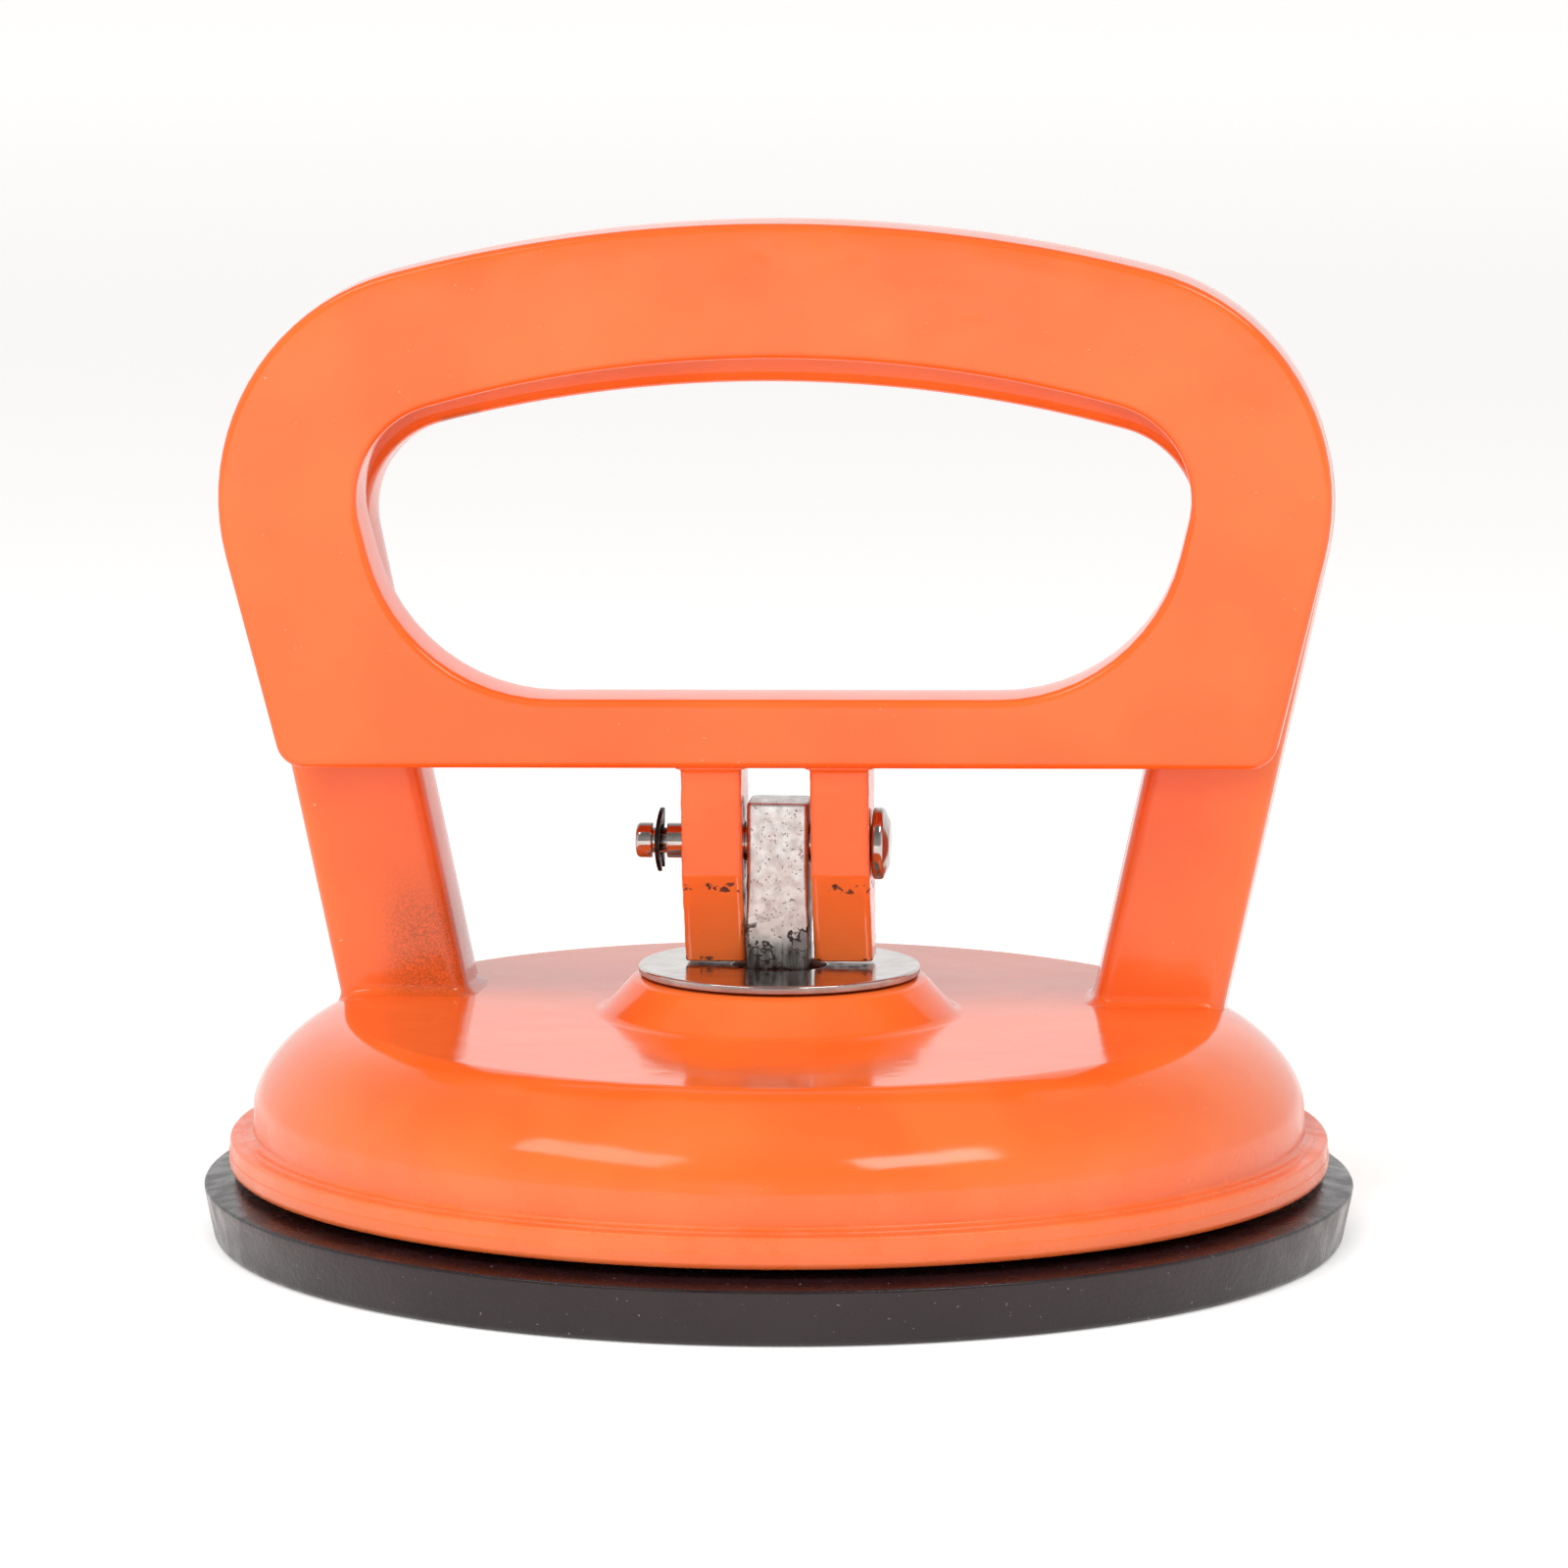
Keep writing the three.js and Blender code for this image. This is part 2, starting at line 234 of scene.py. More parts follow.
studio = {
    "lens": 191.25, "distance": 842, "height": 168.6, "aside": 0.42, "azimuth": 4.7,
    "pitch": 8.26, "roll": 0.15,
    "floor": "#F7F5F4", "floorSize": 3000, "floorThickness": 5,
    "floorGlow": 0.5, "farGlow": 0.8, "glowStart": 300, "glowEnd": 2200,
    "horizon": 1.0, "zenith": 0.35, "skyFill": 0.4, "frontDim": 0.4,
    # azimuth from the front, elevation, width, height, watts, and whether gloss mirrors it
    "lamps": {
        "left softbox": (-48, 51, 0.75, 0.3, 2.6, True),
        "right softbox": (46, 50, 0.65, 0.28, 3.6, True),
        "overhead fill": (-8, 64, 0.9, 0.9, 9, False),
        "front key": (-8, 19, 0.4, 0.4, 5.2, False),
    },
    "lampReach": 1.4,
}


def makeCamera():
    camera = bpy.data.objects.new("camera", bpy.data.cameras.new("camera"))
    camera.data.lens = studio["lens"]
    camera.data.clip_end = 50
    side = math.radians(studio["azimuth"])
    reach = studio["distance"] * mm
    aside = studio["aside"] * mm
    camera.location = (reach * math.sin(side) + aside * math.cos(side),
                       -reach * math.cos(side) + aside * math.sin(side), studio["height"] * mm)
    look = Euler((math.radians(90 - studio["pitch"]), 0, side)).to_matrix()
    look = look @ Euler((0, 0, math.radians(studio["roll"]))).to_matrix()
    camera.rotation_euler = look.to_euler()
    bpy.context.scene.collection.objects.link(camera)
    bpy.context.scene.camera = camera


def makeFloor():
    # a light table: one big round sheet of opal acrylic, lit from below; the rubber stands on it
    size = studio["floorSize"]
    # a hair below the ground, so that it never shares a face with the rubber's lip
    top, under = -0.02, -studio["floorThickness"]
    profile = [(0.0, top), (size, top), (size * 2, top), (size * 2, under), (0.0, under)]
    floor = turn("lightTable", profile, segments=96)
    finish, tree, shader, place = newFinish("opal acrylic sheet", {
        "Roughness": 0.9, "Base Color": hexColour(studio["floor"]),
        "Emission Color": hexColour(studio["floor"])})
    grain = patches(tree, place, 1.5, 0.3, 0.7)
    # the sheet glows brighter away from the object, where the lamps do not reach
    away = addNode(tree, "VectorMath", {"operation": "LENGTH", 0: place}, "Value")
    glow = addNode(tree, "MapRange", {
        "interpolation_type": "SMOOTHSTEP", "Value": away, "From Min": studio["glowStart"],
        "From Max": studio["glowEnd"], "To Min": studio["floorGlow"], "To Max": studio["farGlow"]})
    feed(tree, shader, {"Emission Strength": glow, "Normal": addNode(tree, "Bump", {
        "Strength": 0.2, "Distance": 0.02 * mm, "Height": grain})})
    floor.data.materials.append(finish)


def makeLamp(name, azimuth, elevation, width, height, watts, mirrored):
    # a soft box that hangs in front of the object and looks at it
    lamp = bpy.data.objects.new(name, bpy.data.lights.new(name, "AREA"))
    lamp.data.shape = "RECTANGLE"
    lamp.data.size, lamp.data.size_y = width, height
    lamp.data.energy = watts
    lamp.visible_glossy = mirrored
    reach, side, up = studio["lampReach"], math.radians(azimuth), math.radians(elevation)
    lamp.location = (reach * math.cos(up) * math.sin(side),
                     -reach * math.cos(up) * math.cos(side), reach * math.sin(up))
    lamp.rotation_euler = (-lamp.location).to_track_quat("-Z", "Y").to_euler()
    bpy.context.scene.collection.objects.link(lamp)


def makeSky():
    # a white tent, bright round the sides and dimmer overhead
    world = bpy.data.worlds.new("white tent")
    bpy.context.scene.world = world
    world.use_nodes = True
    tree = world.node_tree
    where = addNode(tree, "TexCoord", {}, "Generated")
    up = addNode(tree, "SeparateXYZ", {0: where}, "Z")
    level = addNode(tree, "MapRange", {
        "interpolation_type": "SMOOTHSTEP", "Value": up, "From Min": 0.25, "From Max": 0.85,
        "To Min": studio["horizon"], "To Max": studio["zenith"]})
    # the tent is open, so darker, on the side it is looked into from
    back = addNode(tree, "SeparateXYZ", {0: where}, "Y")
    back = addNode(tree, "MapRange", {
        "interpolation_type": "SMOOTHSTEP", "Value": back, "From Min": -0.9, "From Max": 0.0,
        "To Min": studio["frontDim"], "To Max": 1.0})
    level = addNode(tree, "Math", {"operation": "MULTIPLY", 0: level, 1: back})
    # gloss sees the full tent, while most of the matt light comes from the lamps
    matt = addNode(tree, "LightPath", {}, "Is Diffuse Ray")
    share = addNode(tree, "MapRange", {"Value": matt, "To Min": 1.0, "To Max": studio["skyFill"]})
    level = addNode(tree, "Math", {"operation": "MULTIPLY", 0: level, 1: share})
    feed(tree, tree.nodes["Background"], {"Strength": level})
    tree.nodes["Background"].inputs["Color"].default_value = (1, 1, 1, 1)


def makeStudio():
    makeCamera()
    makeFloor()
    makeSky()
    for name, lamp in studio["lamps"].items():
        makeLamp(name, *lamp)
    bpy.context.scene.view_settings.view_transform = "Standard"


enamel = {
    # paint and shade of each casting, the lever's a little deeper than the body's as a painted shade
    # on its faces, then dust, a dull film tinted as a painted sheen, paler paint as a painted light
    # on the cams, and bare metal
    "body": ("#FB7430", "#F56A28"), "lever": ("#FB6D2A", "#F56423"), "speck": "#FFC9AE",
    "filmAndSheen": "#F08E6A", "paintedCamLight": "#FF8A45", "chip": "#5A3020", "rust": "#8A4826",
    "roughness": 0.1,
}


def makeEnamel(name, paint, shade, wearAndLight):
    # stove enamel over sand-blasted cast aluminium: a hard gloss, faint orange peel from the
    # spray, and long waves of the casting below
    finish, tree, shader, place = newFinish(name, {"IOR": 1.5})
    drift = patches(tree, place, 18, 0.35, 0.65, detail=2)
    colour = addNode(tree, "Mix", {
        "data_type": "RGBA", 0: drift, 6: hexColour(paint), 7: hexColour(shade)}, 2)
    # a few grains of dust caught in the paint
    where = patches(tree, place, 9, 0.5, 0.62, detail=1)
    specks = patches(tree, place, 0.42, 0.78, 0.82, 0.6, detail=1)
    specks = addNode(tree, "Math", {"operation": "MULTIPLY", 0: where, 1: specks})
    colour = addNode(tree, "Mix", {
        "data_type": "RGBA", 0: specks, 6: colour, 7: hexColour(enamel["speck"])}, 2)
    rough = patches(tree, place, 12, 0.3, 0.7, enamel["roughness"] + 0.05,
                    base=enamel["roughness"])
    waves = addNode(tree, "TexNoise", {"Vector": place, "Scale": 1 / 6, "Detail": 2.0})
    relief = addNode(tree, "Bump", {"Strength": 0.6, "Distance": 0.11 * mm, "Height": waves})
    peel = addNode(tree, "TexNoise", {"Vector": place, "Scale": 1 / 1.9, "Detail": 1.0})
    relief = addNode(tree, "Bump", {
        "Strength": 0.6, "Distance": 0.008 * mm, "Height": peel, "Normal": relief})
    colour, rough, relief = wearAndLight(tree, place, colour, rough, relief)
    feed(tree, shader, {"Base Color": colour, "Roughness": rough, "Normal": relief})
    return finish


def bodyWearAndSheen(tree, place, colour, rough, relief):
    # a dull film on the skirt, where hands and floors rub, tinted pale pink as a painted sheen, and
    # brown grime low on one leg
    across = addNode(tree, "SeparateXYZ", {0: place}, "X")
    up = addNode(tree, "SeparateXYZ", {0: place}, "Z")
    skirt = band(tree, up, 9.0, 3.5, 4.0, 0.8)
    clouds = patches(tree, place, 5, 0.3, 0.7, base=0.3)
    filmAndSheen = addNode(tree, "Math", {"operation": "MULTIPLY", 0: skirt, 1: clouds})
    # the film's pale pink tint is partly a painted sheen
    tinted = addNode(tree, "Math", {"operation": "MULTIPLY", 0: filmAndSheen, 1: 0.3})
    colour = addNode(tree, "Mix", {
        "data_type": "RGBA", 0: tinted, 6: colour, 7: hexColour(enamel["filmAndSheen"])}, 2)
    rough = addNode(tree, "Math", {
        "operation": "MULTIPLY_ADD", 0: filmAndSheen, 1: 0.3, 2: rough})
    grit = patches(tree, place, 0.5, 0.45, 0.7, 0.5)
    grit = addNode(tree, "Math", {"operation": "MULTIPLY", 0: filmAndSheen, 1: grit})
    relief = addNode(tree, "Bump", {
        "Strength": 0.4, "Distance": 0.03 * mm, "Height": grit, "Normal": relief})
    # the grime fades up the left leg and stops at the dish
    low = band(tree, up, 27.5, 2.2, 8)
    side = band(tree, across, -35.5, 3, 5)
    grime = addNode(tree, "Math", {"operation": "MULTIPLY", 0: low, 1: side})
    fine = patches(tree, place, 0.16, 0.25, 0.8, 0.85, detail=4, base=0.1)
    grime = addNode(tree, "Math", {"operation": "MULTIPLY", 0: grime, 1: fine})
    above = addNode(tree, "Math", {"operation": "GREATER_THAN", 0: up, 1: dishSize["flatTop"]})
    grime = addNode(tree, "Math", {"operation": "MULTIPLY", 0: grime, 1: above})
    # a darker brown patch in the upper left corner of the hand hole, on the grip behind the lever
    deep = addNode(tree, "SeparateXYZ", {0: place}, "Y")
    corner = band(tree, up, 80, 3.5, 4)
    corner = addNode(tree, "Math", {
        "operation": "MULTIPLY", 0: corner, 1: band(tree, across, -33.5, 1.6, 1.0, 0.9)})
    corner = addNode(tree, "Math", {
        "operation": "MULTIPLY", 0: corner, 1: band(tree, deep, 11.5, 3.5, 2.0)})
    corner = addNode(tree, "Math", {
        "operation": "MULTIPLY", 0: corner, 1: patches(tree, place, 1.6, 0.3, 0.6, base=0.4)})
    grime = addNode(tree, "Math", {"operation": "MAXIMUM", 0: grime, 1: corner})
    return addNode(tree, "Mix", {
        "data_type": "RGBA", 0: grime, 6: colour, 7: hexColour(enamel["rust"])}, 2), rough, relief


def leverWearAndPaintedLight(tree, place, colour, rough, relief):
    # paint made paler on the cams below the kink as a painted light on their down-facing faces, and
    # chipped to dark metal at their kink, toe and inner edges
    across = addNode(tree, "SeparateXYZ", {0: place}, "X")
    across = addNode(tree, "Math", {"operation": "ABSOLUTE", 0: across})
    up = addNode(tree, "SeparateXYZ", {0: place}, "Z")
    # painted light: the cams are painted paler below the kink
    paintedCamLight = band(tree, up, 31, 6.4, 0.5, 0.4)
    colour = addNode(tree, "Mix", {
        "data_type": "RGBA", 0: paintedCamLight, 6: colour, 7: hexColour(enamel["paintedCamLight"])}, 2)
    flakes = addNode(tree, "TexNoise", {"Vector": place, "Scale": 0.9, "Detail": 4.0})
    worn = band(tree, up, 36.3, 0.35, 0.9, 1.02)
    worn = addNode(tree, "Math", {"operation": "MAXIMUM", 0: worn, 1: band(tree, up, 28.2, 0.3, 0.7)})
    low = band(tree, up, 32, 6, 5)
    edge = band(tree, across, lugSize["right"][0], 0.12, 0.3, 0.97)
    edge = addNode(tree, "Math", {"operation": "MULTIPLY", 0: edge, 1: low})
    worn = addNode(tree, "Math", {"operation": "MAXIMUM", 0: worn, 1: edge})
    worn = addNode(tree, "Math", {"operation": "MULTIPLY", 0: worn, 1: flakes})
    worn = addNode(tree, "MapRange", {
        "interpolation_type": "SMOOTHSTEP", "Value": worn, "From Min": 0.56, "From Max": 0.61})
    tone = patches(tree, place, 0.6, 0.4, 0.6)
    dark = addNode(tree, "Mix", {
        "data_type": "RGBA", 0: tone, 6: hexColour(enamel["chip"]),
        7: hexColour(enamel["rust"])}, 2)
    colour = addNode(tree, "Mix", {"data_type": "RGBA", 0: worn, 6: colour, 7: dark}, 2)
    rough = addNode(tree, "Math", {"operation": "MULTIPLY_ADD", 0: worn, 1: 0.4, 2: rough})
    relief = addNode(tree, "Bump", {
        "Strength": 0.8, "Distance": 0.06 * mm, "invert": True, "Height": worn,
        "Normal": relief})
    return colour, rough, relief


rubberLook = {"colour": "#1B0C0F", "bloom": "#281A1D", "dust": "#9A8C89", "roughness": 0.2}


def makeRubber():
    # compression-moulded black rubber: satin, faintly grey with bloom, with lint and fine pores
    finish, tree, shader, place = newFinish("moulded black rubber", {"IOR": 1.48})
    bloom = patches(tree, place, 14, 0.35, 0.75, 0.6)
    colour = addNode(tree, "Mix", {
        "data_type": "RGBA", 0: bloom, 6: hexColour(rubberLook["colour"]),
        7: hexColour(rubberLook["bloom"])}, 2)
    lint = patches(tree, place, 0.5, 0.72, 0.76, 0.6, detail=2)
    colour = addNode(tree, "Mix", {
        "data_type": "RGBA", 0: lint, 6: colour, 7: hexColour(rubberLook["dust"])}, 2)
    rough = patches(tree, place, 3, 0.3, 0.7, rubberLook["roughness"] + 0.16,
                    base=rubberLook["roughness"])
    pores = patches(tree, place, 0.6, 0.3, 0.7)
    relief = addNode(tree, "Bump", {"Strength": 0.5, "Distance": 0.03 * mm, "Height": pores})
    drawn = addNode(tree, "VectorMath", {"operation": "MULTIPLY", 0: place, 1: (0.25, 0.25, 3.0)})
    drawn = patches(tree, drawn, 2.5, 0.3, 0.7)
    relief = addNode(tree, "Bump", {
        "Strength": 0.35, "Distance": 0.03 * mm, "Height": drawn, "Normal": relief})
    feed(tree, shader, {"Base Color": colour, "Roughness": rough, "Normal": relief})
    return finish


stemLook = {
    "plate": "#E5E5E2", "grey": "#C4C1BD", "pore": "#6A5B56", "stain": "#2A201E",
    "stainTop": 33.2, "roughness": 0.3,
}


def makeZinc(name, greasyDarkFoot=False):
    # drawn steel bar with dull zinc plate: pale, cloudy and pin-holed
    finish, tree, shader, place = newFinish(name, {"Metallic": 1.0})
    cloud = patches(tree, place, 1.1, 0.35, 0.68, 0.75, detail=6)
    colour = addNode(tree, "Mix", {
        "data_type": "RGBA", 0: cloud, 6: hexColour(stemLook["plate"]),
        7: hexColour(stemLook["grey"])}, 2)
    pores = patches(tree, place, 0.3, 0.62, 0.7, 0.8)
    colour = addNode(tree, "Mix", {
        "data_type": "RGBA", 0: pores, 6: colour, 7: hexColour(stemLook["pore"])}, 2)
    rough = patches(tree, place, 1.5, 0.3, 0.7, stemLook["roughness"] + 0.14,
                    base=stemLook["roughness"])
    if greasyDarkFoot:
        greaseAndDarkFoot = greaseAndDarkFootMask(tree, place)
        colour = addNode(tree, "Mix", {
            "data_type": "RGBA", 0: greaseAndDarkFoot, 6: colour, 7: hexColour(stemLook["stain"])}, 2)
    dents = addNode(tree, "TexNoise", {"Vector": place, "Scale": 1 / 0.8, "Detail": 4.0})
    relief = addNode(tree, "Bump", {"Strength": 0.6, "Distance": 0.03 * mm, "Height": dents})
    relief = addNode(tree, "Bump", {
        "Strength": 0.6, "Distance": 0.04 * mm, "invert": True, "Height": pores,
        "Normal": relief})
    feed(tree, shader, {"Base Color": colour, "Roughness": rough, "Normal": relief})
    return finish


def greaseAndDarkFootMask(tree, place):
    # old grease blots with darker rims near the washer, and streaky darkening towards the foot
    up = addNode(tree, "SeparateXYZ", {0: place}, "Z")
    top = stemLook["stainTop"]
    low = addNode(tree, "MapRange", {
        "interpolation_type": "SMOOTHSTEP", "Value": up, "From Min": top - 1.5,
        "From Max": top + 0.6, "To Min": 1.0, "To Max": 0.0})
    blots = addNode(tree, "TexNoise", {"Vector": place, "Scale": 1 / 1.9, "Detail": 5.0})
    rims = band(tree, blots, 0.52, 0.014, 0.03, 0.95)
    inside = addNode(tree, "MapRange", {
        "interpolation_type": "SMOOTHSTEP", "Value": blots, "From Min": 0.5, "From Max": 0.54,
        "To Max": 0.65})
    blots = addNode(tree, "Math", {"operation": "MAXIMUM", 0: rims, 1: inside})
    blots = addNode(tree, "Math", {"operation": "MULTIPLY", 0: blots, 1: low})
    drawn = addNode(tree, "VectorMath", {"operation": "MULTIPLY", 0: place, 1: (1.0, 1.0, 0.15)})
    streaks = patches(tree, drawn, 0.5, 0.3, 0.7, 0.95, base=0.6)
    # the stem grows streakily darker towards its foot
    darkFoot = addNode(tree, "MapRange", {
        "interpolation_type": "SMOOTHSTEP", "Value": up, "From Min": top - 3.8,
        "From Max": top - 1.7, "To Min": 1.0, "To Max": 0.0})
    darkFoot = addNode(tree, "Math", {"operation": "MULTIPLY", 0: darkFoot, 1: streaks})
    return addNode(tree, "Math", {"operation": "MAXIMUM", 0: blots, 1: darkFoot})


brightLook = {"plate": "#CFC8C3", "shade": "#BDB3AD", "pit": "#6B5B55", "roughness": 0.09}
blackLook = {"oil": "#2A2524", "shade": "#3D3432", "roughness": 0.35}


def makeBrightSteel(name, sheared=None):
    # tumbled and bright-plated steel: clear grey reflections, broken by pits and rub marks;
    # below the sheared height the metal is dull and pale, as the punch left it
    finish, tree, shader, place = newFinish(name, {"Metallic": 1.0})
    tone = patches(tree, place, 3.0, 0.3, 0.7)
    colour = addNode(tree, "Mix", {
        "data_type": "RGBA", 0: tone, 6: hexColour(brightLook["plate"]),
        7: hexColour(brightLook["shade"])}, 2)
    pits = patches(tree, place, 0.5, 0.68, 0.74, 0.6)
    colour = addNode(tree, "Mix", {
        "data_type": "RGBA", 0: pits, 6: colour, 7: hexColour(brightLook["pit"])}, 2)
    rough = patches(tree, place, 1.2, 0.3, 0.7, brightLook["roughness"] + 0.1,
                    base=brightLook["roughness"])
    dents = addNode(tree, "TexNoise", {"Vector": place, "Scale": 2.0, "Detail": 2.0})
    relief = addNode(tree, "Bump", {"Strength": 0.5, "Distance": 0.012 * mm, "Height": dents})
    if sheared:
        up = addNode(tree, "SeparateXYZ", {0: place}, "Z")
        torn = addNode(tree, "MapRange", {
            "Value": up, "From Min": sheared - 0.08, "From Max": sheared, "To Min": 0.4,
            "To Max": 0.0})
        rough = addNode(tree, "Math", {"operation": "ADD", 0: rough, 1: torn})
        tears = patches(tree, place, 0.35, 0.3, 0.7)
        tears = addNode(tree, "Math", {"operation": "MULTIPLY", 0: tears, 1: torn})
        relief = addNode(tree, "Bump", {
            "Strength": 0.8, "Distance": 0.06 * mm, "Height": tears, "Normal": relief})
    feed(tree, shader, {"Base Color": colour, "Roughness": rough, "Normal": relief})
    return finish


def makeBlackSteel():
    # oil-blackened spring steel: near black with a soft sheen
    finish, tree, shader, place = newFinish("oil blackened spring steel", {"Metallic": 1.0})
    tone = patches(tree, place, 0.8, 0.4, 0.7)
    colour = addNode(tree, "Mix", {
        "data_type": "RGBA", 0: tone, 6: hexColour(blackLook["oil"]),
        7: hexColour(blackLook["shade"])}, 2)
    rough = patches(tree, place, 0.8, 0.4, 0.7, blackLook["roughness"] + 0.15,
                    base=blackLook["roughness"])
    feed(tree, shader, {"Base Color": colour, "Roughness": rough})
    return finish


padSize = {
    "lipInner": 47, "hub": 26, "lift": 2.3, "pocket": 24.6, "pocketFloor": 6.1,
    "well": 5.2, "wellFloor": 4.8, "footInset": 1.15, "rimSeat": 55.4, "seatHeight": 6.4,
}


def makeRubberPad():
    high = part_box("rubber_pad")[1]
    outer = high.x / mm
    foot = outer - padSize["footInset"]
    hubTop = high.z / mm
    p = padSize
    profile = roundedCorners([
        (0.0, p["lift"], 0),
        (p["hub"], p["lift"], 6),
        (p["lipInner"] - 4, 0.55, 2),
        (p["lipInner"] - 0.6, 0.5, 0.4),
        (p["lipInner"], 0.0, 0.3),
        (foot, 0.0, 0.9),
        (outer - 0.12, 5.0, 1.5),
        (outer, 5.75, 0.35),
        (p["rimSeat"] + 0.5, 6.32, 1.0),
        (p["rimSeat"] - 2, p["seatHeight"], 1.0),
        (p["lipInner"], p["seatHeight"], 4),
        (p["hub"] + 2, hubTop, 1.0),
        (p["hub"], hubTop, 0.5),
        (p["pocket"], p["pocketFloor"], 0.3),
        (p["well"], p["pocketFloor"], 0.3),
        (p["well"], p["wellFloor"], 0.3),
        (0.0, p["wellFloor"], 0),
    ], steps=5, closed=False)
    pad = turn("rubberPad", profile, segments=288)
    tidyEdges(pad, 50)
    return settle(pad, "base", "rubber_pad", makeRubber())


dishSize = {
    "rim": 56.4, "rimBottom": 7.2, "rimTop": 10.5, "wall": 53.8, "wallTop": 14.0, "flat": 43.8,
    "flatTop": 22.9, "fullness": 1.6, "shell": 3.0, "bossFoot": 18.2, "bossRadius": 14.8,
    "bossTop": 26.7, "guide": 9.0, "guideBottom": 14.5, "bore": 7.0,
}
gripSize = {
    # the shoulder is the arc at the outer corner, where a leg turns into the crown
    "shoulder": {"x": 32.6, "z": 74.5, "radius": 24.0},
    "top": 101.8, "front": 6.0, "back": 17.5, "lean": 12, "leg": 13.8, "round": 1.9, "draft": 0.25,
    "holeTop": 86.6, "holeZ": 72.6, "holeCorner": 9.8, "offset": -0.5,
    "footRise": 1.5, "fillet": 1.1, "embed": 1.0, "overrun": 0.12,
}


def shoulder(wall, wallTop, flat, flatTop, steps):
    # from the top of the upright wall to the edge of the flat, fuller than a chamfer
    made = []
    power = 2 / dishSize["fullness"]
    for i in range(steps + 1):
        a = (i / steps) * math.pi / 2
        made.append((flat + (wall - flat) * abs(math.cos(a)) ** power,
                     wallTop + (flatTop - wallTop) * abs(math.sin(a)) ** power))
    return made


def dishTopAt(radius):
    # height of the dish's upper surface at a distance from the axis
    d = dishSize
    across = min(max(radius - d["flat"], 0) / (d["wall"] - d["flat"]), 1.0)
    up = (1 - across ** d["fullness"]) ** (1 / d["fullness"])
    return d["wallTop"] + (d["flatTop"] - d["wallTop"]) * up


def makeDish():
    d = dishSize
    inside = d["flatTop"] - d["shell"]
    under = roundedCorners([
        (0.0, d["guideBottom"], 0),
        (d["guide"], d["guideBottom"], 0.6),
        (d["guide"] + 2, inside, 2.0),
        (d["flat"] - 2, inside, 0),
    ], closed=False)
    inner = shoulder(d["wall"] - d["shell"], d["wallTop"], d["flat"] - 2, inside, 12)
    rim = roundedCorners([
        (d["wall"] - 3.0, d["wallTop"], 0),
        (d["wall"] - 1.8, d["rimBottom"], 0.4),
        (d["rim"] - 0.05, d["rimBottom"], 0.75),
        (d["rim"], d["rimTop"] - 1.6, 0.1),
        (d["rim"] - 0.12, d["rimTop"] - 1.5, 0.1),
        (d["rim"] - 0.12, d["rimTop"] - 0.05, 0.35),
        (d["wall"] + 1.2, d["rimTop"], 0.15),
        (d["wall"] + 1.1, d["rimTop"] + 0.22, 0.1),
        (d["wall"] + 0.15, d["rimTop"] + 0.25, 0.7),
        (d["wall"], d["wallTop"], 0),
    ], steps=4, closed=False)
    outer = shoulder(d["wall"], d["wallTop"], d["flat"], d["flatTop"], 26)
    boss = roundedCorners([
        (d["flat"], d["flatTop"], 0),
        (d["bossFoot"] + 0.2, d["flatTop"], 1.6),
        (d["bossRadius"] + 0.3, d["bossTop"] - 0.3, 0.7),
        (d["bossRadius"] - 0.6, d["bossTop"], 0.4),
        (0.0, d["bossTop"], 0),
    ], steps=6, closed=False)
    profile = under[:-1] + inner[::-1] + rim[1:-1] + outer + boss[1:]
    return turn("bodyCasting", profile, segments=288)


def crownRadius(top, x, z, radius):
    # radius of the crown arc that has its top in the middle and runs into the corner arc
    drop = top - z
    return (x * x + drop * drop - radius * radius) / (2 * (drop - radius))


def arcPoints(x, z, radius, start, end, steps):
    # points with their outward normals, from one angle to another
    made = []
    for i in range(steps + 1):
        a = start + (end - start) * i / steps
        made.append(((x + radius * math.cos(a), z + radius * math.sin(a)),
                     (math.cos(a), math.sin(a))))
    return made


def linePoints(start, end, normal, steps):
    # points between start and end, without the ends
    made = []
    for i in range(1, steps):
        t = i / steps
        made.append(((start[0] + (end[0] - start[0]) * t, start[1] + (end[1] - start[1]) * t),
                     normal))
    return made


def archPoints(top, corner, lean, cornerSteps=20, crownSteps=44):
    # right tangent point, over the crown, to the left tangent point
    crown = crownRadius(top, corner["x"], corner["z"], corner["radius"])
    meet = math.atan2(corner["z"] - (top - crown), corner["x"])
    side = math.radians(lean)
    made = arcPoints(corner["x"], corner["z"], corner["radius"], -side, meet, cornerSteps)
    made += arcPoints(0, top - crown, crown, meet, math.pi - meet, crownSteps)[1:-1]
    made += arcPoints(-corner["x"], corner["z"], corner["radius"],
                      math.pi - meet, math.pi + side, cornerSteps)
    return made


